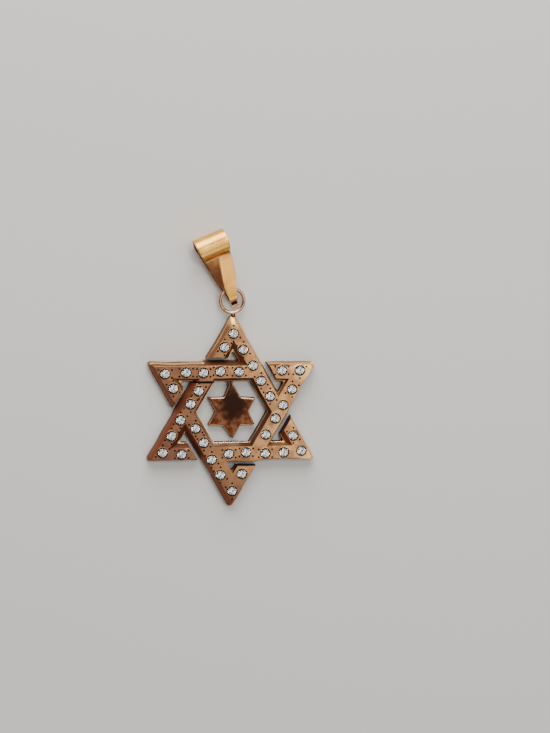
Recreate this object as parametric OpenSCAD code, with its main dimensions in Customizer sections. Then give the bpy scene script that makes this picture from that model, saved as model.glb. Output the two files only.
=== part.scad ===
// Interlaced six-pointed star pendant, lying on its back face.
// Millimetres, +Z up from the surface it lies on, +Y from the star towards its bail.
// Origin: centre of the star on its flat back.

/* [Star] */
// Distance from the star's centre to the middle of each of its six bars
bar_line = 5.4; // [5:0.1:6.5]
// Width of the flat face of a bar
bar_w = 1.66; // [1.6:0.02:1.9]
// Thickness of the star
star_t = 1.75; // [1.5:0.05:2.4]
// How far the outer slope leans out below the face
outer_run = 0.62; // [0.5:0.02:0.8]
// How far the inner slope leans in below the face
inner_run = 0.46; // [0.2:0.02:0.6]
// Height of the ledge at the foot of the inner slope
ledge_z = 1; // [0.6:0.05:1.2]
// Height of the edge at the foot of the outer slope, lower than the ledge
shoulder_z = 0.9; // [0.5:0.05:0.95]
// Distance from the centre to the outer walls that polishing has worn back
worn_line = 6.6; // [6.4:0.02:6.7]
// Radius of the outer tips
tip_r = 0.3; // [0.26:0.01:0.5]
// Radius in the corner of each small tip opening
gap_r = 0.35; // [0.05:0.01:0.4]

/* [Interlacing] */
// Width, at the back, of the slit beside each bar that passes over
slit_w = 0.4; // [0.2:0.02:0.8]
// Width of the open seam under the top bar's upper left crossing
seam_w = 0.13; // [0.05:0.01:0.2]
// Length of that seam
seam_len = 3.9; // [1:0.1:5]

/* [Small star] */
// Distance from the centre to the tips of the small star
small_r = 3.65; // [2.5:0.05:3.8]
// Distance from the centre to its inner corners
small_in = 2.25; // [1.5:0.05:2.4]
// Thickness of the small star
small_t = 1; // [0.6:0.05:1.4]
// Width of the neck that carries it
neck_w = 0.6; // [0.3:0.02:0.7]
// Radius where the neck meets the ledge
neck_r = 0.28; // [0.1:0.02:0.4]

/* [Stones] */
// Diameter of a stone
stone_d = 1.2; // [1:0.02:1.3]
// Diameter of the table as a share of the stone's
table_share = 0.56; // [0.5:0.01:0.65]
// Height of the crown
crown_h = 0.2; // [0.14:0.01:0.24]
// Height of the girdle
girdle_h = 0.04; // [0.02:0.01:0.06]
// Depth of the pavilion
pavilion_h = 0.54; // [0.45:0.01:0.6]
// Height of the table above the bars' face
stone_proud = 0.06; // [0:0.01:0.12]
// Turn of each stone against the one before it
stone_turn = 13; // [0:1:45]
// Gap between a stone and its seat
seat_gap = 0.09; // [0.03:0.01:0.1]
// Diameter of a punch pit beside a stone
pit_d = 0.2; // [0.12:0.01:0.26]
// Depth of a punch pit
pit_h = 0.14; // [0.08:0.01:0.2]
// Distance of the pits from the stone's centre, along the bar
pit_along = 0.91; // [0.8:0.01:1]
// Distance of the pits from the stone's centre, across the bar
pit_across = 0.5; // [0.4:0.01:0.6]

/* [Ring] */
// Outer diameter of the soldered ring
ring_od = 3.65; // [3:0.05:4.5]
// Thickness of its wire
ring_wire = 0.46; // [0.3:0.02:0.5]
// How far the ring was soldered on to the left of the top tip
ring_aside = 0.22; // [0:0.02:0.3]
// Length of solder between the top tip and the ring
solder_gap = 0.13; // [0.02:0.01:0.3]
// Diameter of that solder neck
solder_d = 0.5; // [0.3:0.02:0.7]

/* [Bail] */
// Length from the end of the front leg to the top of the roll
bail_len = 9.7; // [8:0.1:12]
// Width of the roll
bail_top_w = 4.35; // [3.8:0.05:5]
// Width at the end of the front leg
bail_end_w = 1; // [0.8:0.05:1.2]
// Thickness of the sheet
sheet_t = 0.32; // [0.25:0.01:0.4]
// Outer diameter of the roll that the chain runs through
roll_od = 3.15; // [2.6:0.05:3.4]
// Radius of the hollow between the roll and a leg
crease_r = 0.5; // [0.3:0.05:0.8]
// Gap between the two legs under the roll
leg_gap = 0.1; // [0.06:0.01:0.2]
// Clearance of the legs around the ring's wire
wire_gap = 0.1; // [0.06:0.01:0.15]
// Length of the eye from the ring's wire down to its closed end
eye_len = 1.5; // [1.2:0.05:1.6]
// Gap between the front leg's end and the back leg's end
end_gap = 0.25; // [0.1:0.01:0.3]
// Height of the ridge along the front leg, at its wide end
ridge_h = 0.26; // [0.1:0.02:0.3]
// Where the bail hangs on the ring, as an angle to the left of the ring's top
bail_at = 14.6; // [0:0.2:40]
// Angle at which the bail leans to the left
bail_lean = 23.6; // [0:0.2:40]

/* [Hidden] */
$fn = 64;
tiny = 0.01;
reach = 60;

// One row per bar, clockwise from the upper right.
// Each pair places a stone: share of the bar's length, then millimetres aside, outwards.
bar_stones = [
    [[0.01, -0.2], [0.145, -0.1], [0.28, 0], [0.405, -0.05], [0.535, 0], [0.87, 0.15]],
    [[0, -0.4], [0.145, 0], [0.275, 0.05], [0.385, 0.05], [0.52, 0.05], [0.85, -0.05]],
    [[-0.005, -0.1], [0.125, 0.1], [0.26, 0.2], [0.40, 0.05], [0.525, 0.2], [0.865, 0.2]],
    [[0.005, -0.1], [0.15, 0.2], [0.28, 0.2], [0.415, 0], [0.535, 0], [0.865, -0.05]],
    [[0, 0.05], [0.135, 0.15], [0.265, 0.2], [0.40, 0.1], [0.51, 0.05], [0.87, 0.05]],
    [[0.01, -0.2], [0.16, -0.05], [0.285, -0.1], [0.405, 0.1], [0.54, 0.05], [0.85, 0.2]],
];
bars = len(bar_stones);
per_bar = len(bar_stones[0]);
stone_count = bars * per_bar;

// The bars' edges, as distances from the centre
face_out = bar_line + bar_w / 2;
foot_out = face_out + outer_run;
face_in = bar_line - bar_w / 2;
ledge_in = face_in - inner_run;
corner = 2 * foot_out;
// Where the worn walls meet, with a little room so that a tip's arc crosses them
worn_corner = 2 * worn_line + tiny;
tip_y = worn_corner - tip_r;
bar_len = 2 * sqrt(3) * bar_line;

girdle_z = star_t + stone_proud - crown_h;
seat_r = stone_d / 2 + seat_gap;

ring_r = (ring_od - ring_wire) / 2;
ring_y = tip_y + solder_gap + ring_od / 2;
ring_z = star_t / 2;

// The bail's own frame starts at the ring's wire, with +Y towards the roll
roll_r = roll_od / 2;
bore_r = roll_r - sheet_t;
leg_half = leg_gap / 2;
wire_half = ring_wire / 2 + wire_gap;
leg_out = leg_half + sheet_t;
wire_out = wire_half + sheet_t;
front_end = eye_len + sheet_t;
roll_at = bail_len - roll_r - front_end;
crease_at = roll_at - roll_r;
curl_at = 1.2 * ring_wire;
leg_slope = (wire_half - leg_half) / (crease_at - curl_at);
bail_tilt = asin((roll_r - ring_z) / roll_at);
taper = (bail_top_w - bail_end_w) / (roll_at + front_end) / 2;
// Where the two tapering edges, and the ridge between them, would meet
apex_at = -front_end - bail_end_w / 2 / taper;

function stone_name(i) = str("stone_", i < 10 ? "0" : "", i);

// Where a slope from the face down to an edge at height z would reach the back
function slope_foot(edge, z, face) = edge + (edge - face) * z / (star_t - z);

// Everything inside a wall that leans from one distance at the back to another at the face
module inside_wall(foot, face) {
    translate([foot, 0, 0])
        rotate([0, -atan((foot - face) / star_t), 0])
        translate([-reach, -reach / 2, -reach / 2])
        cube(reach);
}

// Three such walls closed to a triangle with one corner on +Y
module leaning_triangle(foot, face) {
    intersection_for(side = [30, 150, 270])
        rotate(side)
        inside_wall(foot, face);
}

// What a 60 degree corner on +Y loses when it is rounded
module corner_wedge(point, r, height) {
    difference() {
        translate([-r, point - 1.5 * r, 0])
            cube([2 * r, 1.5 * r + tiny, height]);
        translate([0, point - 2 * r, -1])
            cylinder(h = height + 2, r = r);
    }
}

// Straight triangle with rounded corners, one of them on +Y
module rounded_triangle(inradius, r, height) {
    difference() {
        rotate(90)
            cylinder(h = height, r = 2 * inradius, $fn = 3);
        for (tip = [0:120:240])
            rotate(tip)
            translate([0, 0, -1])
            corner_wedge(2 * inradius, r, height + 2);
    }
}

// Cut across the left arm of the top tip, from inside the bar that passes over it
module arm_cut() {
    translate([-corner, bar_line, -1])
        cube([corner, foot_out + slit_w - bar_line, star_t + 2]);
}

// What polishing took off the outer walls of one bar, beyond its slits
module worn_sides() {
    rotate(30)
        for (end = [0, 1])
            mirror([0, end, 0])
            translate([worn_line, bar_len / 6 + 0.9, -1])
            cube([foot_out, bar_len, star_t + 2]);
}

// One of the two triangular frames that make the star, with a cut arm at each corner
module triangle_frame() {
    difference() {
        intersection() {
            leaning_triangle(slope_foot(foot_out, shoulder_z, face_out), face_out);
            rounded_triangle(foot_out, 2 * tip_r, star_t);
        }
        translate([0, 0, -1])
            rounded_triangle(ledge_in, gap_r, star_t + 2);
        intersection() {
            leaning_triangle(slope_foot(ledge_in, ledge_z, face_in), face_in);
            translate([-reach / 2, -reach / 2, ledge_z])
                cube(reach);
        }
        for (tip = [0:120:240])
            rotate(tip) {
                arm_cut();
                worn_sides();
                translate([0, 0, -1])
                    corner_wedge(worn_corner, tip_r, star_t + 2);
            }
    }
}

// Seam along the top bar's inner edge at its left crossing
module seam() {
    seam_end = -ledge_in * tan(30) - seam_w;
    translate([seam_end - seam_len, face_in - seam_w, ledge_z])
        cube([seam_len, seam_w, star_t]);
}

// Small solid star in the middle, with the neck that hangs it from the top bar's ledge
module small_star() {
    linear_extrude(small_t)
        polygon([for (k = [0:11]) let (r = k % 2 == 0 ? small_r : small_in)
            [r * sin(30 * k), r * cos(30 * k)]]);
    fillet_x = neck_w / 2 + neck_r;
    fillet_y = ledge_in - neck_r;
    difference() {
        translate([-fillet_x, small_r - neck_w, 0])
            cube([2 * fillet_x, ledge_in + tiny - small_r + neck_w, small_t]);
        for (side = [-1, 1])
            translate([side * fillet_x, 0, -1]) {
                translate([0, fillet_y])
                    cylinder(h = small_t + 2, r = neck_r);
                translate([-neck_r, 0])
                    cube([2 * neck_r, fillet_y, small_t + 2]);
            }
    }
}

// Ring in the star's plane, soldered to the top tip
module ring() {
    translate([-ring_aside, ring_y, ring_z])
        rotate_extrude()
        translate([ring_r, 0])
        circle(d = ring_wire);
    translate([0, tip_y - solder_d, ring_z])
        rotate([-90, 0, 0])
        cylinder(h = solder_d + solder_gap + ring_wire / 2, d = solder_d);
}

// Puts its children where a stone stands, with +X along the bar and +Y outwards
module at_stone(i) {
    bar = floor((i - 1) / per_bar);
    place = bar_stones[bar][(i - 1) % per_bar];
    rotate(-60 * (bar + 1))
        translate([bar_len * (place[0] - 0.5), bar_line + place[1], 0])
        children();
}

// Round seat with a cone below it for the stone's pavilion
module seat() {
    seat_z = girdle_z - girdle_h - seat_gap;
    translate([0, 0, seat_z])
        cylinder(h = star_t, r = seat_r);
    translate([0, 0, seat_z - pavilion_h])
        cylinder(h = pavilion_h + tiny, r1 = seat_gap, r2 = seat_r);
}

// Four marks of the punch that closed the metal over a stone
module pits() {
    for (x = [-pit_along, pit_along], y = [-pit_across, pit_across])
        translate([x, y, star_t - pit_h])
        cylinder(h = star_t, d = pit_d, $fn = 16);
}

module star_frame() color("#b5854f") {
    difference() {
        union() {
            triangle_frame();
            rotate(180)
                triangle_frame();
        }
        seam();
        for (i = [1:stone_count])
            at_stone(i) {
                seat();
                pits();
            }
    }
    small_star();
    ring();
}

// A quarter of an ellipse that curls a leg in beyond the wire, seen from the side
function curl(end, half) =
    [for (a = [0:9:90]) [-curl_at - (end - curl_at) * sin(a), half * cos(a)]];
function reversed(list) = [for (i = [len(list) - 1:-1:0]) list[i]];
function ridge_over(y) = ridge_h * (y - apex_at) / (crease_at - apex_at);

// Side of one leg, from the roll to an eye that closes at the given distance
function leg_side(end, rise_roll, rise_wire) = concat(
    [[roll_at, leg_half], [crease_at, leg_half], [curl_at, wire_half]],
    curl(end, wire_half),
    reversed(curl(end + sheet_t, wire_out)),
    [[curl_at, wire_out + rise_wire], [crease_at, leg_out + rise_roll], [roll_at, leg_out + rise_roll]]
);

// Hollow between the roll and a leg, seen from the side
module crease_side() {
    middle_z = leg_out + crease_r;
    middle_y = roll_at - sqrt(pow(roll_r + crease_r, 2) - pow(middle_z, 2));
    difference() {
        polygon([[middle_y, leg_half], [middle_y, leg_out], [roll_at, middle_z], [roll_at, leg_half]]);
        translate([middle_y, middle_z])
            circle(r = crease_r);
    }
}

module back_side() {
    translate([roll_at, 0])
        circle(r = roll_r);
    crease_side();
    mirror([0, 1])
        crease_side();
    mirror([0, 1])
        polygon(leg_side(front_end + end_gap, 0, 0));
}

// Draws a side view in the bail's middle plane and gives it the bail's full width
module across_bail() {
    rotate([90, 0, 90])
        linear_extrude(2 * bail_top_w, center = true)
        children();
}

// Everything under the two flanks of the front leg
module roof() {
    spread = 1.6;
    far = roll_at + roll_r;
    eave_z = leg_out - leg_slope * (far - crease_at);
    half_w = taper * (far - apex_at);
    top = ridge_over(far);
    start = [0, apex_at, leg_out + leg_slope * (crease_at - apex_at)];
    middle = [0, far, eave_z + top];
    edge = [spread * half_w, 0, -spread * top];
    left = middle + [-edge[0], 0, edge[2]];
    right = middle + edge;
    down = [0, 0, -roll_od];
    polyhedron(
        points = [start, left, middle, right, start + down, left + down, right + down],
        faces = [[0, 1, 2], [0, 2, 3], [1, 5, 6, 3, 2], [0, 4, 5, 1], [0, 3, 6, 4], [4, 6, 5]]
    );
}

// Folded strip: a roll for the chain, and two legs that pass round the ring's wire
module bail() color("#d3a35c") {
    half_end = bail_end_w / 2;
    foot = front_end + end_gap + sheet_t;
    half_foot = half_end - taper * (foot - front_end);
    half_top = bail_top_w / 2;
    top_at = roll_at + roll_r;
    translate([-ring_aside, ring_y, ring_z])
        rotate(bail_at)
        translate([0, ring_r, 0])
        rotate(bail_lean - bail_at)
        rotate([bail_tilt, 0, 0])
        intersection() {
            difference() {
                union() {
                    across_bail()
                        back_side();
                    intersection() {
                        across_bail()
                            polygon(leg_side(eye_len, ridge_over(crease_at), ridge_over(curl_at)));
                        roof();
                    }
                }
                translate([0, roll_at, 0])
                    rotate([0, 90, 0])
                    cylinder(h = 2 * bail_top_w, r = bore_r, center = true);
                translate([-bail_top_w, crease_at - crease_r, -leg_half])
                    cube([2 * bail_top_w, roll_r + crease_r, leg_gap]);
            }
            translate([0, 0, -roll_r - 1])
                linear_extrude(roll_od + 2)
                polygon([
                    [-half_foot, -foot], [half_foot, -foot],
                    [half_top, roll_at], [half_top, top_at], [-half_top, top_at], [-half_top, roll_at]
                ]);
        }
}

// Ring of points that a stone's facets share
function facet_ring(count, r, z, turn) =
    [for (k = [0:count - 1]) [r * cos(360 * k / count + turn), r * sin(360 * k / count + turn), z]];

// Brilliant-cut stone: table, star, bezel and girdle facets above, pavilion facets below
module brilliant() {
    r = stone_d / 2;
    table_r = r * table_share;
    star_r = 0.8 * r;
    lower_r = 0.24 * r;
    half = 22.5;
    star_z = girdle_z + crown_h * (r - star_r * cos(half)) / (r - table_r);
    base_z = girdle_z - girdle_h;
    lower_z = base_z - pavilion_h * (1 - lower_r * cos(half) / r);
    points = concat(
        facet_ring(8, table_r, girdle_z + crown_h, 0),
        facet_ring(8, star_r, star_z, half),
        facet_ring(16, r, girdle_z, 0),
        facet_ring(16, r, base_z, 0),
        facet_ring(8, lower_r, lower_z, half),
        [[0, 0, base_z - pavilion_h]]
    );
    // First point of each ring in the list above
    stars = 8;
    upper = 16;
    lower = 32;
    pavilion = 48;
    culet = 56;
    faces = concat(
        [[7, 6, 5, 4, 3, 2, 1, 0]],
        [for (k = [0:7]) [k, (k + 1) % 8, stars + k]],
        [for (k = [0:7]) [k, stars + k, upper + 2 * k, stars + (k + 7) % 8]],
        [for (k = [0:7]) [stars + k, upper + 2 * k + 1, upper + 2 * k]],
        [for (k = [0:7]) [stars + k, upper + (2 * k + 2) % 16, upper + 2 * k + 1]],
        [for (j = [0:15]) [upper + j, upper + (j + 1) % 16, lower + (j + 1) % 16, lower + j]],
        [for (k = [0:7]) [lower + 2 * k, lower + 2 * k + 1, pavilion + k]],
        [for (k = [0:7]) [lower + 2 * k + 1, lower + (2 * k + 2) % 16, pavilion + k]],
        [for (k = [0:7]) [lower + 2 * k, pavilion + k, culet, pavilion + (k + 7) % 8]]
    );
    polyhedron(points, faces);
}

module stone(i) color("#eef2f5") {
    at_stone(i)
        rotate(stone_turn * i)
        brilliant();
}

star_frame();
bail();
for (i = [1:stone_count])
    stone(i);
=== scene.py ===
import math
import bmesh
import bpy
from mathutils import Matrix, Vector


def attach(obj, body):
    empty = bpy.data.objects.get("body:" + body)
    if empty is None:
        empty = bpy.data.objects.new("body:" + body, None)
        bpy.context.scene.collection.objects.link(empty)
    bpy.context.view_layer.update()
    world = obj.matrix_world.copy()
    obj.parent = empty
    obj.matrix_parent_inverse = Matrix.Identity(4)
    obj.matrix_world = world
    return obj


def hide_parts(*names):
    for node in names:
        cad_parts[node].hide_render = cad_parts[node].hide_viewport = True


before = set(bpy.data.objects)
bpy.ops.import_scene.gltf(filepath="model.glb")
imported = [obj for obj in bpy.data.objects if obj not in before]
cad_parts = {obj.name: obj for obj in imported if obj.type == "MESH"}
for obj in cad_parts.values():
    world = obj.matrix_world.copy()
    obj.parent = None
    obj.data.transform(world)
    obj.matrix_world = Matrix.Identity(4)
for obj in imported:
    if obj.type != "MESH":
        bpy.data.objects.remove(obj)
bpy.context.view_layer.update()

mm = 0.001  # everything is modelled in millimetres and shrunk to metres at the end
same = 0.001  # heights closer than this count as one


def selectOnly(*pieces):
    bpy.ops.object.select_all(action="DESELECT")
    for piece in pieces:
        piece.select_set(True)
    bpy.context.view_layer.objects.active = pieces[0]


def openMesh(piece):
    selectOnly(piece)
    bpy.ops.object.mode_set(mode="EDIT")
    bpy.ops.mesh.select_mode(type="VERT")
    bpy.ops.mesh.select_all(action="DESELECT")


def closeMesh():
    bpy.ops.object.mode_set(mode="OBJECT")


# selects, in edit mode, the faces, edges or verts that pass a test
def pick(piece, kind, test):
    mode = {"verts": "VERT", "edges": "EDGE", "faces": "FACE"}[kind]
    bpy.ops.mesh.select_mode(type=mode)
    bpy.ops.mesh.select_all(action="DESELECT")
    mesh = bmesh.from_edit_mesh(piece.data)
    found = 0
    for item in getattr(mesh, kind):
        if test(item):
            item.select_set(True)
            found += 1
    mesh.select_flush_mode()
    bmesh.update_edit_mesh(piece.data)
    return found


def middle(edge):
    return (edge.verts[0].co + edge.verts[1].co) / 2


def along(edge):
    return (edge.verts[1].co - edge.verts[0].co).normalized()


def level(edge, height):
    return all(abs(vert.co.z - height) < same for vert in edge.verts)


def slanted(face):
    return 0.3 < abs(face.normal.z) < 0.95


# pushes the picked faces out as a new part of the piece
def pull(x, y, z):
    bpy.ops.mesh.extrude_region_move(TRANSFORM_OT_translate={"value": (x, y, z)})


def resize(x, y, centre=(0, 0, 0)):
    bpy.ops.transform.resize(value=(x, y, 1), center_override=centre)


def bevelEdges(size, segments):
    bpy.ops.mesh.bevel(offset=size, segments=segments, affect="EDGES")


def applyAll(piece):
    selectOnly(piece)
    for modifier in list(piece.modifiers):
        bpy.ops.object.modifier_apply(modifier=modifier.name)


def bakePlace(piece):
    selectOnly(piece)
    bpy.ops.object.transform_apply(location=True, rotation=True, scale=True)
    return piece


def turned(piece, angle):
    piece.rotation_euler.z = angle
    return bakePlace(piece)


def combine(piece, other, operation):
    cut = piece.modifiers.new("combine", "BOOLEAN")
    cut.object = other
    cut.operation = operation
    cut.solver = "MANIFOLD"
    cut.material_mode = "TRANSFER"
    applyAll(piece)
    selectOnly(other)
    bpy.ops.object.delete()
    return piece


def joinAll(pieces):
    selectOnly(*pieces)
    bpy.ops.object.join()
    return bpy.context.object


def paint(piece, material, test=None):
    piece.data.materials.append(material)
    if test:
        openMesh(piece)
        pick(piece, "faces", test)
        piece.active_material_index = len(piece.data.materials) - 1
        bpy.ops.object.material_slot_assign()
        closeMesh()
    return piece


# Materials
def newMaterial(name):
    material = bpy.data.materials.new(name)
    material.use_nodes = True
    return material, material.node_tree, material.node_tree.nodes["Principled BSDF"]


# gives a socket a number or a colour, or joins it to another node's output
def feed(tree, socket, value):
    if isinstance(value, (tuple, float, int)):
        socket.default_value = value
    else:
        tree.links.new(value, socket)


# puts a pattern on a piece in millimetres
def objectCoordinates(tree, centre=(0, 0, 0), scale=(1000, 1000, 1000)):
    coordinates = tree.nodes.new("ShaderNodeTexCoord")
    mapping = tree.nodes.new("ShaderNodeMapping")
    mapping.inputs["Scale"].default_value = scale
    mapping.inputs["Location"].default_value = [-c for c in centre]
    tree.links.new(coordinates.outputs["Object"], mapping.inputs["Vector"])
    return mapping.outputs["Vector"]


def noise(tree, vector, scale, detail=3.0, roughness=0.55):
    texture = tree.nodes.new("ShaderNodeTexNoise")
    texture.inputs["Scale"].default_value = scale
    texture.inputs["Detail"].default_value = detail
    texture.inputs["Roughness"].default_value = roughness
    tree.links.new(vector, texture.inputs["Vector"])
    return texture.outputs["Fac"]


def ramp(tree, value, low, high, fromValue=0.0, toValue=1.0):
    node = tree.nodes.new("ShaderNodeMapRange")
    node.interpolation_type = "SMOOTHSTEP"
    node.inputs["From Min"].default_value = low
    node.inputs["From Max"].default_value = high
    node.inputs["To Min"].default_value = fromValue
    node.inputs["To Max"].default_value = toValue
    tree.links.new(value, node.inputs["Value"])
    return node.outputs["Result"]


def mixColours(tree, share, first, second):
    node = tree.nodes.new("ShaderNodeMix")
    node.data_type = "RGBA"
    for socket, value in ((0, share), (6, first), (7, second)):
        feed(tree, node.inputs[socket], value)
    return node.outputs[2]


def mixNumbers(tree, share, first, second):
    node = tree.nodes.new("ShaderNodeMix")
    for socket, value in ((0, share), (2, first), (3, second)):
        feed(tree, node.inputs[socket], value)
    return node.outputs[0]


def maths(tree, operation, *values):
    node = tree.nodes.new("ShaderNodeMath")
    node.operation = operation
    for socket, value in zip(node.inputs, values):
        feed(tree, socket, value)
    return node.outputs[0]


# where both masks are full
def both(tree, first, second):
    return maths(tree, "MULTIPLY", first, second)


# where one of two masks is full
def either(tree, first, second):
    return maths(tree, "MAXIMUM", first, second)


def vectorMaths(tree, operation, vector, other=None):
    node = tree.nodes.new("ShaderNodeVectorMath")
    node.operation = operation
    tree.links.new(vector, node.inputs[0])
    if other is not None:
        node.inputs[1].default_value = other
    return node.outputs["Vector" if operation == "CROSS_PRODUCT" else "Value"]


def separate(tree, vector):
    node = tree.nodes.new("ShaderNodeSeparateXYZ")
    tree.links.new(vector, node.inputs["Vector"])
    return node.outputs["X"], node.outputs["Y"], node.outputs["Z"]


def surfaceNormal(tree):
    return tree.nodes.new("ShaderNodeNewGeometry").outputs["Normal"]


def addBumps(tree, shader, height, distance):
    node = tree.nodes.new("ShaderNodeBump")
    node.inputs["Distance"].default_value = distance * mm
    node.inputs["Strength"].default_value = 0.5
    tree.links.new(height, node.inputs["Height"])
    tree.links.new(node.outputs["Normal"], shader.inputs["Normal"])


# light wear that every smooth metal here has
def addFineGrain(tree, shader, here, rough, bump):
    fine = noise(tree, here, 8.0, 5, 0.6)
    scuffed = ramp(tree, fine, 0.3, 0.7, rough - 0.06, rough + 0.08)
    tree.links.new(scuffed, shader.inputs["Roughness"])
    addBumps(tree, shader, fine, bump)


# colours of the star's metal, with painted light, shade and highlights, by how steeply a surface
# lies and which way it turns
goldLook = {
    # the face's lit tone, and its painted shade tone for the left half and the lowest tip
    "face": (0.74, 0.395, 0.17, 1), "faceShade": (0.205, 0.094, 0.062, 1),
    "faceDark": (0.33, 0.155, 0.078, 1),
    # slope and wall tones: painted shade and dark painted reflections
    "slope": (0.11, 0.038, 0.018, 1), "slopeDark": (0.22, 0.062, 0.031, 1),
    "slopeInnerShade": (0.10, 0.034, 0.018, 1), "slopeTop": (0.25, 0.11, 0.05, 1),
    "wall": (0.10, 0.03, 0.015, 1),
    "back": (0.46, 0.225, 0.11, 1), "backStain": (0.27, 0.115, 0.058, 1),
    # painted highlight colours: edge outside the hexagon, rim inside it
    "edge": (0.98, 0.62, 0.245, 1), "rim": (0.93, 0.62, 0.38, 1),
    "faceRough": 0.38, "slopeRough": 0.46, "edgeRough": 0.31,
    "slopeMetal": 0.5, "specular": 0.2, "bump": 0.02,
    # how fine each pattern is
    "mottling": 0.9, "staining": 0.4, "grain": 7.0,
    # the side the light comes from: how far a surface turns to it sets its painted light and shade
    "lightFrom": (0.75, 0.66, 0),
    # x, y, reach: tips painted bright, partly polish wear and partly painted highlight
    "brightTips": [(0.1, 13.0, 2.0), (10.4, 6.9, 3.4), (11.2, -6.4, 2.4), (0.2, -13.2, 0.8)],
    "brightTipZ": 1.4, "brightTipCore": 0.55, "brightTipShare": 0.75,
}
# where each finish begins and where it is full, and how much of it there is at either end
goldMasks = {
    # by the height of the surface normal
    "face": (0.93, 0.985), "wall": (0.3, 0.1), "offWall": (0.2, 0.4), "back": (-0.6, -0.9),
    "bandFrom": (0.8, 0.87), "bandTo": (0.985, 0.95), "rim": (0.85, 0.95),
    "ledgeEdgeFrom": (0.12, 0.22), "ledgeEdgeTo": (0.46, 0.38),
    # by how far the surface turns to the side the light comes from, for painted light and shade
    "lightFrom": (-0.35, 0.55), "edgeToLight": (-0.25, 0.15, 0.08, 0.75),
    "sidesToLight": (0.55, 0.75, 0.0, 0.7), "lined": (0.1, 0.2, 0.0, 0.75),
    # by place, in millimetres
    "right": (-9.0, 9.0), "lowestTipShade": (-7.0, -11.0, 0.0, 0.85), "topSlopes": (5.0, 10.0),
    "litTopEdges": (6.0, 9.0, 0.0, 0.7), "outside": (5.5, 5.9),
    "nearLedge": (1.25, 1.15), "nearFace": (1.58, 1.68, 0.0, 0.6),
    # by the patterns
    "blotches": (0.38, 0.62, 0.0, 0.7), "stains": (0.42, 0.6),
}


def makeGold():
    look = goldLook
    material, tree, shader = newMaterial("wornGoldAndPaintedLight")
    here = objectCoordinates(tree)
    x, y, z = separate(tree, here)
    normal = surfaceNormal(tree)
    up = separate(tree, normal)[2]
    # how far each surface turns to the light, for painted light and shade
    towardsLight = vectorMaths(tree, "DOT_PRODUCT", normal, look["lightFrom"])

    def mask(name, value):
        return ramp(tree, value, *goldMasks[name])

    onFace = mask("face", up)
    onBack = mask("back", up)
    offWall = mask("offWall", up)
    outside = mask("outside", vectorMaths(tree, "LENGTH", here))
    # painted light and shade: the right half lighter than the left one, and the lowest tip darker
    face = mixColours(tree, mask("right", x), look["faceShade"], look["face"])
    blotches = mask("blotches", noise(tree, here, look["mottling"], 4))
    face = mixColours(tree, blotches, face, look["faceDark"])
    face = mixColours(tree, mask("lowestTipShade", y), face, look["faceShade"])
    # painted light and shade on the slopes: a lighter tone along the top, another tone where they
    # turn to the light, darker around the hexagon
    slope = mixColours(tree, mask("topSlopes", y), look["slopeDark"], look["slopeTop"])
    slope = mixColours(tree, mask("lightFrom", towardsLight), slope, look["slope"])
    slope = mixColours(tree, outside, look["slopeInnerShade"], slope)
    # painted shade: the upright walls dark
    lower = mixColours(tree, mask("wall", up), slope, look["wall"])
    # skin and clothing left stains on the back
    stains = mask("stains", noise(tree, here, look["staining"], 7, 0.68))
    back = mixColours(tree, stains, look["back"], look["backStain"])
    lower = mixColours(tree, onBack, lower, back)
    # rounded edges lie between a slope's lean and the face's; they, the ledge edges and the rims
    # get a painted highlight where they turn to the light or lie along the top
    band = both(tree, both(tree, mask("bandFrom", up), mask("bandTo", up)), outside)
    faceEdge = both(tree, band, mask("nearFace", z))
    ledgeEdge = both(tree, mask("ledgeEdgeFrom", up), mask("ledgeEdgeTo", up))
    rim = both(tree, mask("rim", up), mask("nearLedge", z))
    edges = either(tree, faceEdge, either(tree, ledgeEdge, rim))
    paintedHighlight = both(tree, edges, either(tree, mask("edgeToLight", towardsLight), mask("litTopEdges", y)))
    # painted highlight: the upper right sides, turned to the light, are bright all the way down
    sidesToLight = both(tree, both(tree, mask("sidesToLight", towardsLight), outside), offWall)
    paintedHighlight = either(tree, paintedHighlight, sidesToLight)
    # the tips: polish wear and painted highlight
    for tipX, tipY, reach in look["brightTips"]:
        fromTip = vectorMaths(
            tree, "LENGTH", objectCoordinates(tree, (tipX, tipY, look["brightTipZ"])))
        tip = ramp(tree, fromTip, look["brightTipCore"] * reach, reach, look["brightTipShare"], 0.0)
        paintedHighlight = either(tree, paintedHighlight, both(tree, tip, offWall))
    colour = mixColours(tree, onFace, lower, face)
    # the painted highlight colour goes over the rest
    colour = mixColours(tree, paintedHighlight, colour, mixColours(tree, outside, look["rim"], look["edge"]))
    # a thin painted shadow line under the face parts it from the bright sides turned to the light
    colour = mixColours(tree, both(tree, mask("lined", towardsLight), band), colour, look["slopeTop"])
    tree.links.new(colour, shader.inputs["Base Color"])
    bright = either(tree, either(tree, onFace, paintedHighlight), onBack)
    tree.links.new(mixNumbers(tree, bright, look["slopeMetal"], 1.0), shader.inputs["Metallic"])
    rough = mixNumbers(tree, onFace, look["slopeRough"], look["faceRough"])
    rough = mixNumbers(tree, paintedHighlight, rough, look["edgeRough"])
    grain = noise(tree, here, look["grain"], 5, 0.6)
    grainy = maths(tree, "MULTIPLY", maths(tree, "SUBTRACT", grain, 0.5), 0.2)
    tree.links.new(maths(tree, "ADD", rough, grainy), shader.inputs["Roughness"])
    addBumps(tree, shader, grain, look["bump"])
    shader.inputs["Specular IOR Level"].default_value = look["specular"]
    return material


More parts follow.
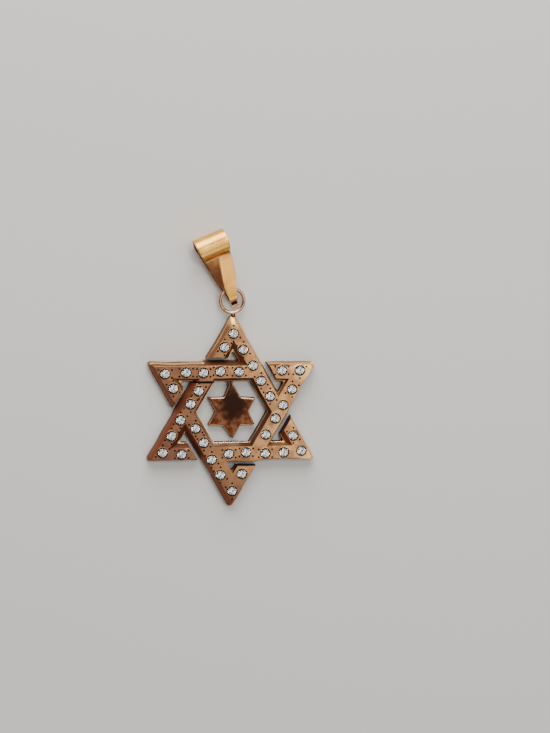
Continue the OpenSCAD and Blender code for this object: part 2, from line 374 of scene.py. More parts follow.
# metal in one finish: light colour, dark colour, pattern size, roughness
plainMetals = {
    # painted shade: near black on upright walls in holes, slits, tip cuts and the bail's curls
    "recessShade": ((0.05, 0.022, 0.012, 1), (0.025, 0.012, 0.008, 1), 1.2, 0.5),
    # painted shade in the stones' seats and the punch marks
    "seatShade": ((0.09, 0.05, 0.025, 1), (0.03, 0.016, 0.01, 1), 3.0, 0.45),
    "ringGold": ((0.80, 0.50, 0.30, 1), (0.55, 0.27, 0.14, 1), 1.1, 0.2),
    "solderStain": ((0.22, 0.11, 0.05, 1), (0.06, 0.03, 0.018, 1), 2.0, 0.4),
    "bailEdge": ((0.95, 0.66, 0.42, 1), (0.8, 0.48, 0.24, 1), 0.9, 0.35),
    # painted shade on the inner side of the bail's strip
    "bailInsideShade": ((0.34, 0.15, 0.065, 1), (0.17, 0.075, 0.035, 1), 0.9, 0.45),
}


def makePlainMetal(name, light, dark, size, rough):
    material, tree, shader = newMaterial(name)
    shader.inputs["Metallic"].default_value = 1.0
    here = objectCoordinates(tree)
    blotches = ramp(tree, noise(tree, here, size, 4), 0.36, 0.66)
    tree.links.new(mixColours(tree, blotches, light, dark), shader.inputs["Base Color"])
    addFineGrain(tree, shader, here, rough, 0.012)
    return material


bailLook = {
    "light": (0.99, 0.56, 0.12, 1), "dark": (0.88, 0.45, 0.09, 1),
    # painted shade on the left flank and in the crease, a painted tone on the right side
    "shadedFlank": (0.42, 0.14, 0.08, 1), "shadedFlankLean": (0.03, 0.16, 0.0, 0.9),
    "right": (0.80, 0.38, 0.095, 1), "rightLean": (-0.03, -0.12, 0.0, 0.7),
    "creaseShade": (0.36, 0.16, 0.085, 1), "creaseAt": (0, 4.7, 0.7),
    "creaseReach": (0.95, 0.3, 0.0, 0.6),
    "mottling": 0.7, "rough": 0.3, "bump": 0.006,
}


# painted shade on the bail's left flank and in its crease, and a painted tone where it leans right
# place carries it from its own frame to the pendant's
def makeBailGold(place):
    look = bailLook
    material, tree, shader = newMaterial("bailGold")
    shader.inputs["Metallic"].default_value = 1.0
    here = objectCoordinates(tree)
    across = place.to_3x3() @ Vector((1, 0, 0))
    blotches = ramp(tree, noise(tree, here, look["mottling"], 4), 0.36, 0.66)
    colour = mixColours(tree, blotches, look["light"], look["dark"])
    lean = vectorMaths(tree, "DOT_PRODUCT", surfaceNormal(tree), -across)
    # painted light and shade by which way the surface leans
    for side in ("shadedFlank", "right"):
        colour = mixColours(tree, ramp(tree, lean, *look[side + "Lean"]), colour, look[side])
    # distance from the line along the crease
    fromCrease = objectCoordinates(tree, place @ Vector(look["creaseAt"]))
    distance = vectorMaths(tree, "LENGTH", vectorMaths(tree, "CROSS_PRODUCT", fromCrease, across))
    # painted shade along the crease
    colour = mixColours(tree, ramp(tree, distance, *look["creaseReach"]), colour, look["creaseShade"])
    tree.links.new(colour, shader.inputs["Base Color"])
    addFineGrain(tree, shader, here, look["rough"], look["bump"])
    return material


smallLook = {
    "metal": (0.11, 0.03, 0.011, 1), "light": (0.21, 0.088, 0.047, 1), "lightShare": (0.4, 0.65),
    # the dark spot is a painted reflection
    "darkReflection": (0.03, 0.013, 0.009, 1), "darkReflectionAt": (0.25, 1.3, 1.0),
    "darkReflectionShape": (0.85, 0.55, 0.3), "darkReflectionReach": (0.8, 2.1), "darkReflectionRagged": 2.0,
    # painted highlight colour on the rounded edges
    "edge": (0.8, 0.42, 0.22, 1), "edgeFrom": (0.35, 0.55), "edgeTo": (0.985, 0.93),
    "mottling": 1.2, "rough": 0.3, "bump": 0.012,
}


# a dark painted reflection lies in the small star's middle
def makeSmallGold():
    look = smallLook
    material, tree, shader = newMaterial("smallStarGold")
    shader.inputs["Metallic"].default_value = 1.0
    here = objectCoordinates(tree)
    shape = look["darkReflectionShape"]
    spot = objectCoordinates(
        tree, [a * b for a, b in zip(look["darkReflectionAt"], shape)], [1000 * share for share in shape])
    ragged = maths(
        tree, "MULTIPLY", maths(tree, "SUBTRACT", noise(tree, here, 0.6, 4), 0.5),
        look["darkReflectionRagged"])
    distance = maths(tree, "ADD", vectorMaths(tree, "LENGTH", spot), ragged)
    lighter = ramp(tree, noise(tree, here, look["mottling"], 3), *look["lightShare"])
    metal = mixColours(tree, lighter, look["metal"], look["light"])
    # painted reflection: the dark spot
    colour = mixColours(tree, ramp(tree, distance, *look["darkReflectionReach"]), look["darkReflection"], metal)
    up = separate(tree, surfaceNormal(tree))[2]
    # painted highlight on the small star's rounded edges
    paintedHighlight = both(tree, ramp(tree, up, *look["edgeFrom"]), ramp(tree, up, *look["edgeTo"]))
    tree.links.new(mixColours(tree, paintedHighlight, colour, look["edge"]), shader.inputs["Base Color"])
    addFineGrain(tree, shader, here, look["rough"], look["bump"])
    return material


def makeGem():
    material, tree, shader = newMaterial("clearStone")
    haze = noise(tree, objectCoordinates(tree), 2.0, 2)
    shader.inputs["Base Color"].default_value = (1, 1, 1, 1)
    tree.links.new(ramp(tree, haze, 0.4, 0.75, 0.0, 0.03), shader.inputs["Roughness"])
    shader.inputs["IOR"].default_value = 1.75
    shader.inputs["Transmission Weight"].default_value = 1.0
    return material


print("materials")
gold = makeGold()
smallGold = makeSmallGold()
gem = makeGem()
metals = {name: makePlainMetal(name, *look) for name, look in plainMetals.items()}


# The star's frame, in millimetres: the same lines that the solid follows
star = {
    "barLine": 5.4, "faceOut": 6.23, "footOut": 6.85, "faceIn": 4.57, "ledgeIn": 4.11,
    "thick": 1.75, "ledgeZ": 1.0, "shoulderZ": 0.9, "bottomZ": -1,
    "wornLine": 6.64, "tipsFrom": 5.9, "tipBox": 20,
    # height and how far in: a narrow shelf, then up the slope
    "wornEdge": [(1.08, 0), (1.12, 0.12), (1.5, 0.17), (1.68, 0.17), (1.76, 0.24), (2.75, 0.24)],
    "tipR": 0.3, "topTipR": 0.62, "wornTopFrom": 5,
    "bodyTipR": 0.2, "apexR": 0.65, "apexFrom": 9,
    "gapR": 0.27, "flare": 0.6, "flareHigh": 0.25, "rimHigh": 0.02,
    "faceRound": 0.08, "edgeRound": 0.1, "rim": 0.1, "rimRound": 0.05,
    "slit": 0.4, "slitMiddle": 0.34, "slitDeep": 2.7, "slitLip": 0.09, "slitLipHigh": 0.07,
    # left, right, near and far side
    "seam": (-6.4, -2.2, 3.9, 4.13), "seamUnder": 0.07, "seamLip": 0.07, "seamLipHigh": 0.06,
    "lipOver": 0.5, "grid": 0.8, "gridStart": 0.37, "gridAngles": (30, 90, 150),
    # name, size, strength, direction, group: the back stays flat, so only the upper part
    # moves up and down
    "waves": [
        ("wavesAcross", 2.2, 0.16, "X", ""), ("wavesAlong", 2.6, 0.16, "Y", ""),
        ("wavesUp", 1.6, 0.05, "Z", "upper")],
    "upperFrom": 0.5,
}
# The two triangles, both told as pointing up: distances from the middle for the right, left
# and bottom side
# tips: face and ledge of the right arm, face and ledge of the left arm, anticlockwise from
# the top one
triangles = [
    {"face": (6.36, 6.17, 6.64), "foot": (6.66, 6.85, 6.8), "worn": (6.72, 6.76, 6.53),
     "tips": [(4.78, 4.15, 4.75, 4.11), (4.93, 4.11, 4.8, 4.11), (4.57, 4.11, 4.78, 4.15)]},
    {"face": (6.22, 6.37, 6.23), "foot": (6.85, 6.66, 6.85), "worn": (6.72, 6.54, 6.64),
     "tips": [(4.02, 3.95, 4.24, 4.18), (4.3, 4.08, 4.5, 4.11), (4.52, 4.11, 4.92, 4.11)]},
]
sideAngles = [math.radians(a) for a in (30, 150, 270)]
cornerAngles = [math.radians(a) for a in (90, 210, 330)]


# where the three sides meet: at the top, lower left and lower right
def sideCorners(sides):
    corners = []
    for first, second in ((0, 1), (1, 2), (2, 0)):
        a, b = sideAngles[first], sideAngles[second]
        near, far = sides[first], sides[second]
        corners.append((
            (near * math.sin(b) - far * math.sin(a)) / math.sin(b - a),
            (far * math.cos(a) - near * math.cos(b)) / math.sin(b - a)))
    return corners


# moves the corners of an even triangle to those of an uneven one
def moveCorners(piece, height, inradius, sides):
    for angle, (x, y) in zip(cornerAngles, sideCorners(sides)):
        way = Vector((math.cos(angle), math.sin(angle), 0))
        pick(piece, "verts", lambda v: (
            abs(v.co.z - height) < same and v.co.normalized().dot(way) > 0.75))
        bpy.ops.transform.translate(value=Vector((x, y, 0)) - 2 * inradius * way)


def addPrism(inradius, low, high):
    bpy.ops.mesh.primitive_cylinder_add(
        vertices=3, radius=2 * inradius, depth=high - low, location=(0, 0, (low + high) / 2))
    return bakePlace(bpy.context.object)


def addBox(middlePoint, size):
    bpy.ops.mesh.primitive_cube_add(size=1, location=middlePoint)
    box = bpy.context.object
    box.scale = size
    return bakePlace(box)


# pulls the top face up to a new height and a new distance from the centre
def raiseTop(piece, fromZ, toZ, fromInradius, toInradius):
    pick(piece, "faces", lambda f: (
        f.normal.z > 0.9 and abs(f.calc_center_median().z - fromZ) < same))
    pull(0, 0, toZ - fromZ)
    resize(toInradius / fromInradius, toInradius / fromInradius)


# rounds the upright corners that pass a test, r being the radius seen from above
def roundCorners(piece, r, segments, test):
    if pick(piece, "edges", lambda e: abs(along(e).z) > 0.15 and test(e)):
        bevelEdges(r * math.sqrt(3), segments)


def roundLevel(piece, height, size):
    if pick(piece, "edges", lambda e: level(e, height)):
        bevelEdges(size, 3)


def makeTriangleFrame(sides):
    s = star
    body = addPrism(s["footOut"], 0, s["shoulderZ"])
    openMesh(body)
    raiseTop(body, s["shoulderZ"], s["thick"], s["footOut"], s["faceOut"])
    moveCorners(body, s["thick"], s["faceOut"], sides["face"])
    moveCorners(body, s["shoulderZ"], s["footOut"], sides["foot"])
    moveCorners(body, 0, s["footOut"], sides["foot"])
    roundCorners(body, s["bodyTipR"], 3, lambda e: middle(e).y < s["apexFrom"])
    roundCorners(body, s["apexR"], 8, lambda e: middle(e).y > s["apexFrom"])
    roundLevel(body, s["thick"], s["faceRound"])
    roundLevel(body, s["shoulderZ"], s["edgeRound"])
    closeMesh()
    paint(body, gold)
    hole = makeHole((s["faceIn"],) * 3, (s["ledgeIn"],) * 3)
    for tip in range(3):
        combine(hole, makeTipBox(tip), "DIFFERENCE")
    combine(body, hole, "DIFFERENCE")
    for tip, (faceRight, ledgeRight, faceShade, ledgeLeft) in enumerate(sides["tips"]):
        hole = makeHole(
            (faceRight, faceShade, s["faceIn"]), (ledgeRight, ledgeLeft, s["ledgeIn"]))
        turned(hole, math.radians(120 * tip))
        combine(hole, makeTipBox(tip), "INTERSECT")
        combine(body, hole, "DIFFERENCE")
    for tip in range(3):
        combine(body, makeArmCutter(tip), "DIFFERENCE")
    return body


# what is cut inside the three bars: upright to the ledge, then leaning out to the face
def makeHole(faces, ledges):
    s = star
    rimZ, topZ = s["ledgeZ"] + s["rimHigh"], s["thick"] + s["flareHigh"]
    rimIn, topIn = s["ledgeIn"] + s["rim"], s["faceIn"] + s["flare"]
    hole = addPrism(s["ledgeIn"], s["bottomZ"], s["ledgeZ"])
    openMesh(hole)
    raiseTop(hole, s["ledgeZ"], rimZ, s["ledgeIn"], rimIn)
    raiseTop(hole, rimZ, s["thick"], rimIn, s["faceIn"])
    raiseTop(hole, s["thick"], topZ, s["faceIn"], topIn)
    moveCorners(hole, topZ, topIn, [side + s["flare"] for side in faces])
    moveCorners(hole, s["thick"], s["faceIn"], faces)
    rims = [min(ledge + s["rim"], (face + ledge) / 2) for face, ledge in zip(faces, ledges)]
    moveCorners(hole, rimZ, rimIn, rims)
    moveCorners(hole, s["ledgeZ"], s["ledgeIn"], ledges)
    moveCorners(hole, s["bottomZ"], s["ledgeIn"], ledges)
    # rounded at the ledge, sharp at the face
    roundCorners(hole, s["gapR"], 5, lambda e: middle(e).z < rimZ)
    roundLevel(hole, s["thick"], s["faceRound"])
    roundLevel(hole, s["ledgeZ"], s["rimRound"])
    closeMesh()
    paint(hole, gold)
    # painted shade on the hole's upright walls
    return paint(hole, metals["recessShade"], lambda f: abs(f.normal.z) < 0.1)


# what lies further out than the bars that cross there
def makeTipBox(tip):
    size = star["tipBox"]
    box = addBox((0, star["tipsFrom"] + size / 2, 0), (size, size, size))
    # painted shade on the faces this box cuts at the tips
    return paint(turned(box, math.radians(120 * tip)), metals["recessShade"])


# chamfers what a box cuts: its top flares out by lip on the two long sides
def widenTop(cutter, high, lip, near, far):
    pick(cutter, "faces", lambda f: f.normal.z > 0.9)
    pull(0, 0, high)
    resize(1, 1 + 2 * lip / (far - near), (0, (near + far) / 2, 0))
    pull(0, 0, star["lipOver"])


# a slot's cutter: painted shade on its walls, gold on its lips
def makeSlot(middlePoint, size, high, lip, near, far):
    cutter = addBox(middlePoint, size)
    openMesh(cutter)
    widenTop(cutter, high, lip, near, far)
    closeMesh()
    return paint(paint(cutter, metals["recessShade"]), gold, slanted)


# the left arm of every tip stops short of the bar that passes over it
def makeArmCutter(tip):
    s = star
    near, far = s["barLine"], s["footOut"] + s["slit"]
    reach = 2 * s["footOut"]
    cutter = makeSlot(
        (-reach / 2, (near + far) / 2, s["slitMiddle"]), (reach, far - near, s["slitDeep"]),
        s["slitLipHigh"], s["slitLip"], near, far)
    return turned(cutter, math.radians(120 * tip))


# the seam where the left bar ends under the top one
def makeSeam():
    s = star
    left, right, near, far = s["seam"]
    low, high = s["ledgeZ"], s["thick"] - s["seamUnder"]
    return makeSlot(
        ((left + right) / 2, (near + far) / 2, (low + high) / 2),
        (right - left, far - near, high - low), s["seamLipHigh"], s["seamLip"], near, far)


# what handling and polishing left of both triangles' outlines
def makeWornOutline():
    s = star
    halves = []
    for turn, sides in zip((0, math.pi), triangles):
        prism = addPrism(s["wornLine"], s["bottomZ"], s["wornEdge"][0][0])
        openMesh(prism)
        for (z, inset), (nextZ, nextInset) in zip(s["wornEdge"], s["wornEdge"][1:]):
            raiseTop(prism, z, nextZ, s["wornLine"] - inset, s["wornLine"] - nextInset)
        for z, inset in [(s["bottomZ"], 0)] + s["wornEdge"]:
            moveCorners(prism, z, s["wornLine"] - inset, [side - inset for side in sides["worn"]])
        roundCorners(prism, s["tipR"], 6, lambda e: turn or middle(e).y < s["wornTopFrom"])
        roundCorners(
            prism, s["topTipR"], 8, lambda e: not turn and middle(e).y > s["wornTopFrom"])
        closeMesh()
        halves.append(paint(turned(prism, turn), gold))
    return combine(halves[0], halves[1], "UNION")


print("star: frames")
starFrame = makeTriangleFrame(triangles[0])
lower = turned(makeTriangleFrame(triangles[1]), math.pi)
combine(starFrame, lower, "UNION")
combine(starFrame, makeSeam(), "DIFFERENCE")
combine(starFrame, makeWornOutline(), "INTERSECT")


# merges what lies on one spot, drops slivers and closes what that left open
def tidyMesh(piece):
    bpy.ops.mesh.select_mode(type="VERT")
    bpy.ops.mesh.select_all(action="SELECT")
    bpy.ops.mesh.remove_doubles(threshold=0.0005)
    if pick(piece, "faces", lambda f: f.calc_area() < 0.00001):
        bpy.ops.mesh.delete(type="FACE")
    bpy.ops.mesh.select_mode(type="VERT")
    bpy.ops.mesh.select_all(action="SELECT")
    bpy.ops.mesh.delete_loose()
    bpy.ops.mesh.select_all(action="SELECT")
    bpy.ops.mesh.fill_holes(sides=8)


# cuts the mesh along evenly spaced planes, so that it can bend a little everywhere
def addGrid(piece, spacing):
    openMesh(piece)
    steps = int(2 * star["footOut"] / spacing)
    for angle in [math.radians(a) for a in star["gridAngles"]]:
        across = Vector((math.cos(angle), math.sin(angle), 0))
        for step in range(-steps, steps + 1):
            bpy.ops.mesh.select_all(action="SELECT")
            bpy.ops.mesh.bisect(
                plane_co=across * (step + star["gridStart"]) * spacing, plane_no=across)
    tidyMesh(piece)
    closeMesh()


# moves a piece's points a little to and fro, in waves of a size
def addWaves(piece, table):
    for name, size, strength, direction, group in table:
        texture = bpy.data.textures.new(name, "CLOUDS")
        texture.noise_scale = size
        texture.noise_depth = 1
        waves = piece.modifiers.new(name, "DISPLACE")
        waves.texture = texture
        waves.texture_coords = "LOCAL"
        waves.direction = direction
        waves.strength = strength
        waves.mid_level = 0.5
        waves.vertex_group = group


print("star: uneven casting")
openMesh(starFrame)
tidyMesh(starFrame)
# joins again what the cuts split within one plane
bpy.ops.mesh.select_all(action="SELECT")
bpy.ops.mesh.dissolve_limited(angle_limit=math.radians(0.5))
tidyMesh(starFrame)
closeMesh()
addGrid(starFrame, star["grid"])
openMesh(starFrame)
tidyMesh(starFrame)
pick(starFrame, "verts", lambda v: v.co.z > star["upperFrom"])
bpy.ops.object.vertex_group_add()
bpy.ops.object.vertex_group_assign()
starFrame.vertex_groups[0].name = "upper"
closeMesh()

# where polishing ate further into the outline: x, y, how far towards the middle, reach
wear = [
    (-8.2, 6.6, 0.12, 2.2), (7.9, 6.6, 0.1, 2.0), (-9.6, 3.2, 0.1, 1.8), (9.4, 3.4, 0.22, 1.8),
    (6.6, -7.2, 0.16, 1.6), (-6.4, -6.7, 0.06, 1.8), (1.6, -9.9, 0.12, 1.8), (-2.1, 9.4, 0.08, 1.6),
]


def wearOutline(piece, dents):
    openMesh(piece)
    for x, y, depth, reach in dents:
        spot = Vector((x, y, 1.0))
        inwards = -Vector((x, y, 0)).normalized() * depth
        mesh = bmesh.from_edit_mesh(piece.data)
        nearest = min((v for v in mesh.verts), key=lambda v: (v.co - spot).length)
        pick(piece, "verts", lambda v: v.index == nearest.index)
        bpy.ops.transform.translate(
            value=inwards, use_proportional_edit=True,
            proportional_edit_falloff="SMOOTH", proportional_size=reach)
    closeMesh()


wearOutline(starFrame, wear)
addWaves(starFrame, star["waves"])
applyAll(starFrame)

# The small star, its neck, the ring and the solder
small = {
    "tips": 3.65, "notches": 2.25, "thick": 1.0, "round": 0.2, "cornerR": 0.12, "grid": 0.6,
    # x, y and how far it moves: left tips a little longer than the right ones, the bottom one
    # off the middle, the top one on to the neck
    "uneven": [
        (-3.16, 1.8, (-0.12, 0.05, 0)), (-3.16, -1.8, (-0.1, -0.04, 0)),
        (0, -3.65, (0.12, -0.08, 0)), (0, 3.65, (-0.2, 0.45, 0))],
    "neckFrom": 0.67,
    # y, middle, width
    "neckRows": [
        (3.75, -0.2, 0.58), (3.92, -0.21, 0.58), (4.0, -0.2, 0.68), (4.06, -0.18, 0.88),
        (4.11, -0.16, 1.15), (4.3, -0.16, 1.15)],
    "waves": [("smallAcross", 1.6, 0.12, "X", ""), ("smallAlong", 1.8, 0.12, "Y", "")],
}
ring = {"outer": 3.65, "wire": 0.46, "at": (-0.22, 14.865, 0.875)}
solder = {"low": 12.3, "high": 13.32, "r": 0.36, "x": -0.05, "z": 0.8, "narrow": 0.95}


def upright(edge):
    return abs(along(edge).z) > 0.9


def makeSmallStar():
    s = small
    bpy.ops.mesh.primitive_cylinder_add(
        vertices=12, radius=s["tips"], depth=s["thick"], location=(0, 0, s["thick"] / 2))
    piece = bakePlace(bpy.context.object)
    openMesh(piece)
    # the odd corners go in to the notches
    pick(piece, "verts", lambda v: (
        round(math.degrees(math.atan2(v.co.x, v.co.y))) % 60 == 30))
    resize(s["notches"] / s["tips"], s["notches"] / s["tips"])
    for x, y, move in s["uneven"]:
        pick(piece, "verts", lambda v: math.hypot(v.co.x - x, v.co.y - y) < 0.1)
        bpy.ops.transform.translate(value=move)
    drawNeck(piece)
    pick(piece, "edges", lambda e: upright(e) and middle(e).length > 3 and middle(e).y < 3)
    bevelEdges(s["cornerR"], 3)
    pick(piece, "edges", lambda e: upright(e) and middle(e).length < 2.6)
    bevelEdges(s["cornerR"], 3)
    pick(piece, "faces", lambda f: f.normal.z > 0.9)
    bpy.ops.mesh.dissolve_faces()
    pick(piece, "faces", lambda f: f.normal.z > 0.9)
    bevelEdges(s["round"], 4)
    closeMesh()
    return piece


# the top arm goes on as a neck that widens where it joins the bar
def drawNeck(piece):
    pick(piece, "edges", lambda e: upright(e) and middle(e).y > 3.9)
    bevelEdges(small["neckFrom"], 1)
    pick(piece, "faces", lambda f: f.normal.y > 0.9 and f.calc_center_median().y > 3)
    mesh = bmesh.from_edit_mesh(piece.data)
    corners = [vert.co for face in mesh.faces if face.select for vert in face.verts]
    atX, atY = sum(c.x for c in corners) / 4, sum(c.y for c in corners) / 4
    wide = max(c.x for c in corners) - min(c.x for c in corners)
    for y, x, width in small["neckRows"]:
        pull(x - atX, y - atY, 0)
        resize(width / wide, 1, (x, y, 0))
        atX, atY, wide = x, y, width


def makeRing():
    bpy.ops.mesh.primitive_torus_add(
        major_radius=(ring["outer"] - ring["wire"]) / 2, minor_radius=ring["wire"] / 2,
        major_segments=72, minor_segments=20, location=ring["at"])
    return bakePlace(bpy.context.object)


# a drop of solder that ran in between the tip and the ring
def makeSolder():
    s = solder
    bpy.ops.mesh.primitive_uv_sphere_add(
        segments=24, ring_count=14, radius=s["r"],
        location=(s["x"], (s["low"] + s["high"]) / 2, s["z"]))
    drop = bpy.context.object
    drop.scale = (s["narrow"], (s["high"] - s["low"]) / (2 * s["r"]), 1)
    return bakePlace(drop)


print("star: small star, ring, solder")
smallStar = paint(makeSmallStar(), smallGold)
addGrid(smallStar, small["grid"])
addWaves(smallStar, small["waves"])
applyAll(smallStar)
ringPiece = paint(makeRing(), metals["ringGold"])
combine(ringPiece, paint(makeSolder(), metals["solderStain"]), "UNION")
combine(starFrame, smallStar, "UNION")
combine(starFrame, ringPiece, "UNION")

# The stones' seats and the punch marks beside them
# One row for each bar, clockwise from the upper right: share of the bar's length, millimetres
# outwards
barStones = [
    [(0.01, -0.2), (0.145, -0.1), (0.28, 0), (0.405, -0.05), (0.535, 0), (0.87, 0.15)],
    [(0, -0.4), (0.145, 0), (0.275, 0.05), (0.385, 0.05), (0.52, 0.05), (0.85, -0.05)],
    [(-0.005, -0.1), (0.125, 0.1), (0.26, 0.2), (0.40, 0.05), (0.525, 0.2), (0.865, 0.2)],
    [(0.005, -0.1), (0.15, 0.2), (0.28, 0.2), (0.415, 0), (0.535, 0), (0.865, -0.05)],
    [(0, 0.05), (0.135, 0.15), (0.265, 0.2), (0.40, 0.1), (0.51, 0.05), (0.87, 0.05)],
    [(0.01, -0.2), (0.16, -0.05), (0.285, -0.1), (0.405, 0.1), (0.54, 0.05), (0.85, 0.2)],
]
setting = {
    # height above the back and radius, from the bottom up
    "seat": [(0.94, 0.09), (1.48, 0.69), (1.704, 0.69), (1.764, 0.72), (1.964, 0.83)],
    "lip": [(1.7, 0.84), (1.75, 0.79), (1.756, 0.76), (1.764, 0.72)],
    "pit": [(1.59, 0.07), (1.71, 0.126), (1.77, 0.154), (2.05, 0.252)],
    "pitAlong": 0.91, "pitAcross": 0.52,
    # stones whose punch marks were polished away
    "unmarked": (3, 9, 10, 11, 12, 13, 14),
}


# carries a thing from its own place to a stone's
def stonePlace(bar, share, aside):
    barLength = 2 * math.sqrt(3) * star["barLine"]
    turn = Matrix.Rotation(math.radians(-60 * (bar + 1)), 4, "Z")
    return turn @ Matrix.Translation((barLength * (share - 0.5), star["barLine"] + aside, 0))


# draws a turned shape: a cone frustum whose top is pulled on through more rings
def makeTurned(rings, vertices):
    (lowZ, lowR), (highZ, highR) = rings[0], rings[1]
    bpy.ops.mesh.primitive_cone_add(
        vertices=vertices, radius1=lowR, radius2=highR, depth=highZ - lowZ,
        location=(0, 0, (lowZ + highZ) / 2))
    piece = bakePlace(bpy.context.object)
    openMesh(piece)
    pick(piece, "faces", lambda f: f.normal.z > 0.9)
    for (z, r), (nextZ, nextR) in zip(rings[1:], rings[2:]):
        pull(0, 0, nextZ - z)
        resize(nextR / r, nextR / r)
    closeMesh()
    return piece


# one piece out of copies of a model, which goes
def spread(model, places):
    copies = []
    for place in places:
        piece = model.copy()
        piece.data = model.data.copy()
        bpy.context.collection.objects.link(piece)
        piece.matrix_world = place
        copies.append(bakePlace(piece))
    selectOnly(model)
    bpy.ops.object.delete()
    return joinAll(copies)


print("star: seats and punch marks")
stonePlaces = [
    stonePlace(bar, share, aside) for bar, row in enumerate(barStones) for share, aside in row]
pitPlaces = [
    place @ Matrix.Translation((x * setting["pitAlong"], y * setting["pitAcross"], 0))
    for number, place in enumerate(stonePlaces, 1) if number not in setting["unmarked"]
    for x, y in ((1, 1), (1, -1), (-1, 1), (-1, -1))]
# the seats and punch marks get painted shade
for shape, vertices, metal, places, operation in (
        ("lip", 32, gold, stonePlaces, "UNION"),
        ("seat", 32, metals["seatShade"], stonePlaces, "DIFFERENCE"),
        ("pit", 10, metals["seatShade"], pitPlaces, "DIFFERENCE")):
    model = paint(makeTurned(setting[shape], vertices), metal)
    combine(starFrame, spread(model, places), operation)

# The bail: one strip of sheet, drawn along its middle line from the front leg's end
bail = {
    "sheet": 0.32, "columns": 18, "edgeR": 0.05, "waves": [("bailWaves", 1.5, 0.05, "Z", "")],
    "wireOut": 0.49, "legOut": 0.21, "curlFrom": 0.552,
    "frontEnd": 1.66, "backEnd": 2.4,
    "rollAt": 6.305, "rollR": 1.415, "rollTurns": 40, "creaseR": 0.66,
    # distance from the front leg's end, half width to the left, half width to the right
    "widths": [
        (0.0, 0.5, 0.5), (0.8, 0.58, 0.64), (1.6, 0.74, 0.88), (2.6, 0.98, 1.24),
        (4.0, 1.25, 1.58), (5.4, 1.5, 1.83), (6.8, 1.86, 1.98), (8.1, 2.14, 2.14),
        (20.0, 2.17, 2.17)],
    # the back leg is read a little further up that table, wider above its curl, narrower in it
    "backFrom": 1.0, "backShift": 0.2, "backWider": 0.03, "backCurl": -0.08,
    # the fold: how high, where it starts and how it fades, and its place aside from end to roll
    "ridgeHigh": 0.24, "ridgeFrom": 0.2, "ridgeTo": 1.3, "ridgeFade": (1.2, 0.7), "ridgeZero": 1.82,
    "ridge": [(1.7, -0.62), (2.6, -0.6), (3.9, -0.3), (5.2, 0), (6.4, 0.38), (9, 0.6)],
    "hangs": (-0.22, 14.865, 0.888), "hangR": 1.595, "hangsAt": 14.6, "leans": 23.6, "tilts": 6.374,
    # painted shade goes inside the two curls
    "curlShadeFrom": -0.7, "curlMiddle": (0, -0.4, 0),
}


# reads a table between its rows
def between(table, at, column):
    for low, high in zip(table, table[1:]):
        if at <= high[0]:
            share = max(0.0, (at - low[0]) / (high[0] - low[0]))
            return low[column] + share * (high[column] - low[column])
    return table[-1][column]


# side view of the strip: the front leg, the roll and the back leg, as (along, up)
def bailLine():
    b = bail
    creaseZ = b["legOut"] + b["creaseR"]
    run = math.sqrt((b["rollR"] + b["creaseR"]) ** 2 - creaseZ ** 2)
    creaseY = b["rollAt"] - run
    tilt = math.atan2(creaseZ, run)

    def leg(end):
        curl = [(-b["curlFrom"] - (end - b["curlFrom"]) * math.sin(a), b["wireOut"] * math.cos(a))
                for a in [math.radians(d) for d in (90, 78, 66, 54, 42, 30, 15, 0)]]
        steps = 9
        slope = [(b["curlFrom"] + (creaseY - b["curlFrom"]) * k / steps,
                  b["wireOut"] + (b["legOut"] - b["wireOut"]) * k / steps)
                 for k in range(steps + 1)]
        steps = 6
        arc = [(creaseY + b["creaseR"] * math.sin(a), creaseZ - b["creaseR"] * math.cos(a))
               for a in [(math.pi / 2 - tilt) * k / steps for k in range(1, steps + 1)]]
        return curl + slope + arc

    turns = b["rollTurns"]
    sweep = 2 * math.pi - 2 * tilt
    roll = [(b["rollAt"] + b["rollR"] * math.cos(a), b["rollR"] * math.sin(a))
            for a in [math.pi - tilt - sweep * k / turns for k in range(1, turns)]]
    back = [(y, -z) for y, z in reversed(leg(b["backEnd"]))]
    return leg(b["frontEnd"]) + roll + back


# half the strip's width at a point, column 1 for its left half and 2 for its right one
def halfWidth(y, z, end, side):
    b = bail
    if z >= -0.001 or y >= b["rollAt"] - b["backFrom"]:
        return between(b["widths"], y - end, side)
    at = y - end + b["backShift"]
    mean = 0.5 * (between(b["widths"], at, side) + between(b["widths"], at, 3 - side))
    return mean + (b["backWider"] if y > end else b["backCurl"])


# the front leg is folded along a line that runs from its upper right to its lower left
def ridgeHeight(x, y, z):
    b = bail
    last = b["rollAt"] - b["ridgeTo"]
    if z < 0 or y > last or y < b["ridgeFrom"]:
        return 0
    at = y + b["ridgeZero"]
    ridgeX = between(b["ridge"], at, 1)
    left, right = between(b["widths"], at, 1), between(b["widths"], at, 2)
    fadeIn, fadeOut = b["ridgeFade"]
    fade = min(1, (last - y) / fadeOut) * min(1, (y - b["ridgeFrom"]) / fadeIn)
    aside = (ridgeX - x) / (left + ridgeX) if x < ridgeX else (x - ridgeX) / (right - ridgeX)
    return b["ridgeHigh"] * max(0.0, 1 - aside) * fade


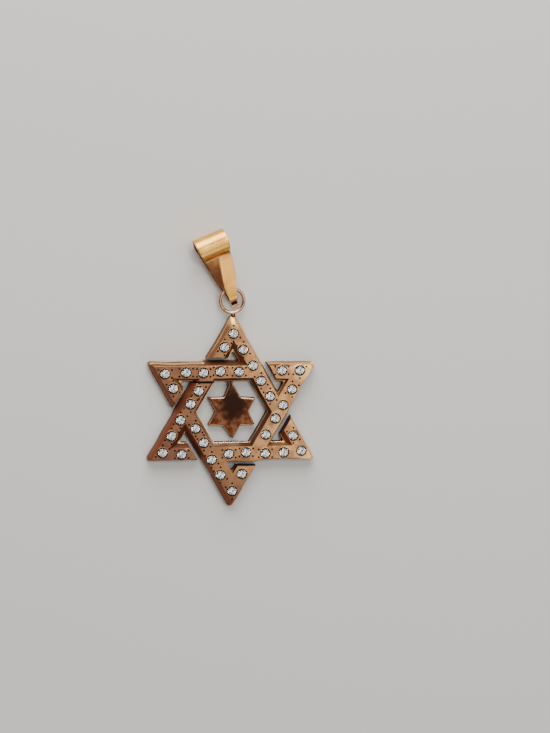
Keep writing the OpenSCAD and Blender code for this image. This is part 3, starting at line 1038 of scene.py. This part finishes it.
def makeBail():
    line = bailLine()
    (end, startZ), thin = line[0], 0.001
    bpy.ops.mesh.primitive_grid_add(x_subdivisions=bail["columns"], y_subdivisions=1, size=1)
    strip = bpy.context.object
    strip.scale = (1, thin, 1)
    strip.location = (0, end - thin / 2, startZ)
    bakePlace(strip)
    openMesh(strip)
    # only the first row of edges stays: it is drawn along the line
    pick(strip, "verts", lambda v: v.co.y < end - thin / 2)
    bpy.ops.mesh.delete(type="VERT")
    bpy.ops.mesh.select_mode(type="EDGE")
    bpy.ops.mesh.select_all(action="SELECT")
    for (y, z), (nextY, nextZ) in zip(line, line[1:]):
        pull(0, nextY - y, nextZ - z)
    mesh = bmesh.from_edit_mesh(strip.data)
    for vert in mesh.verts:
        vert.co.x *= 2 * halfWidth(vert.co.y, vert.co.z, end, 1 if vert.co.x < 0 else 2)
        vert.co.z += ridgeHeight(*vert.co)
    bmesh.update_edit_mesh(strip.data)
    bpy.ops.mesh.select_all(action="SELECT")
    bpy.ops.mesh.normals_make_consistent(inside=False)
    closeMesh()
    return strip


print("bail")
bailPiece = makeBail()
bailPlace = (
    Matrix.Translation(bail["hangs"])
    @ Matrix.Rotation(math.radians(bail["hangsAt"]), 4, "Z")
    @ Matrix.Translation((0, bail["hangR"], 0))
    @ Matrix.Rotation(math.radians(bail["leans"] - bail["hangsAt"]), 4, "Z")
    @ Matrix.Rotation(math.radians(bail["tilts"]), 4, "X"))
for metal in (makeBailGold(bailPlace), metals["bailInsideShade"], metals["bailEdge"]):
    paint(bailPiece, metal)
thick = bailPiece.modifiers.new("sheet", "SOLIDIFY")
thick.thickness = bail["sheet"]
thick.offset = 0
# the strip's inner side gets painted shade
thick.material_offset = 1
thick.material_offset_rim = 2
applyAll(bailPiece)
soft = bailPiece.modifiers.new("soft", "BEVEL")
soft.width = bail["edgeR"]
soft.segments = 3
soft.limit_method = "ANGLE"
soft.angle_limit = math.radians(50)
addWaves(bailPiece, bail["waves"])
applyAll(bailPiece)
curlMiddle = Vector(bail["curlMiddle"])
# painted shade inside the curls
paint(bailPiece, metals["recessShade"], lambda f: (
    f.calc_center_median().y < bail["curlShadeFrom"]
    and f.normal.yz.dot((curlMiddle - f.calc_center_median()).yz) > 0.1))
bailPiece.matrix_world = bailPlace
bakePlace(bailPiece)


def finishPiece(piece, name, node, smoothAngle):
    piece.name = name
    piece.data.name = name
    selectOnly(piece)
    piece.scale = (mm, mm, mm)
    bpy.ops.object.transform_apply(location=True, rotation=True, scale=True)
    bpy.ops.object.shade_smooth_by_angle(angle=math.radians(smoothAngle))
    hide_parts(node)
    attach(piece, "root")


print("shading and place")
finishPiece(starFrame, "starFrame", "star_frame", 35)
finishPiece(bailPiece, "bailStrip", "bail", 30)
for name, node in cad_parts.items():
    if name.startswith("stone"):
        node.data.materials.clear()
        node.data.materials.append(gem)

# Floor, light and camera
print("stage")
bpy.ops.mesh.primitive_plane_add(size=2)
floor = bpy.context.object
floor.name = "floor"
paper, tree, shader = newMaterial("paper")
shader.inputs["Base Color"].default_value = (0.78, 0.77, 0.76, 1)
shader.inputs["Roughness"].default_value = 0.7
floor.data.materials.append(paper)

# name, place, size, power, colour: all shine on the middle of the star
lamps = [
    ("window", (-0.03, 0.3, 0.17), 0.3, 1.7, (1, 0.97, 0.92)),
    ("overhead", (0.14, 0.0, 0.32), 0.24, 0.3, (1, 0.96, 0.9)),
    ("fill", (0.12, -0.28, 0.24), 0.2, 0.2, (1, 0.95, 0.88)),
    ("sparkle", (0.07, 0.12, 0.36), 0.03, 0.2, (1, 0.99, 0.96)),
]
for name, place, size, power, colour in lamps:
    light = bpy.data.lights.new(name, "AREA")
    light.size = size
    light.energy = power
    light.color = colour
    lamp = bpy.data.objects.new(name, light)
    bpy.context.collection.objects.link(lamp)
    lamp.location = place
    lamp.rotation_euler = (-Vector(place)).to_track_quat("-Z", "Y").to_euler()
world = bpy.data.worlds.new("room")
bpy.context.scene.world = world
world.use_nodes = True
world.node_tree.nodes["Background"].inputs["Color"].default_value = (1, 0.97, 0.94, 1)
world.node_tree.nodes["Background"].inputs["Strength"].default_value = 0.22

camera = bpy.data.cameras.new("camera")
camera.lens = 78.6
camera.clip_start = 0.001
viewer = bpy.data.objects.new("camera", camera)
bpy.context.collection.objects.link(viewer)
viewer.location = (-0.0344, 0.02967, 0.21059)
viewer.rotation_euler = [math.radians(angle) for angle in (-6.509, -10.726, 1.026)]
bpy.context.scene.camera = viewer
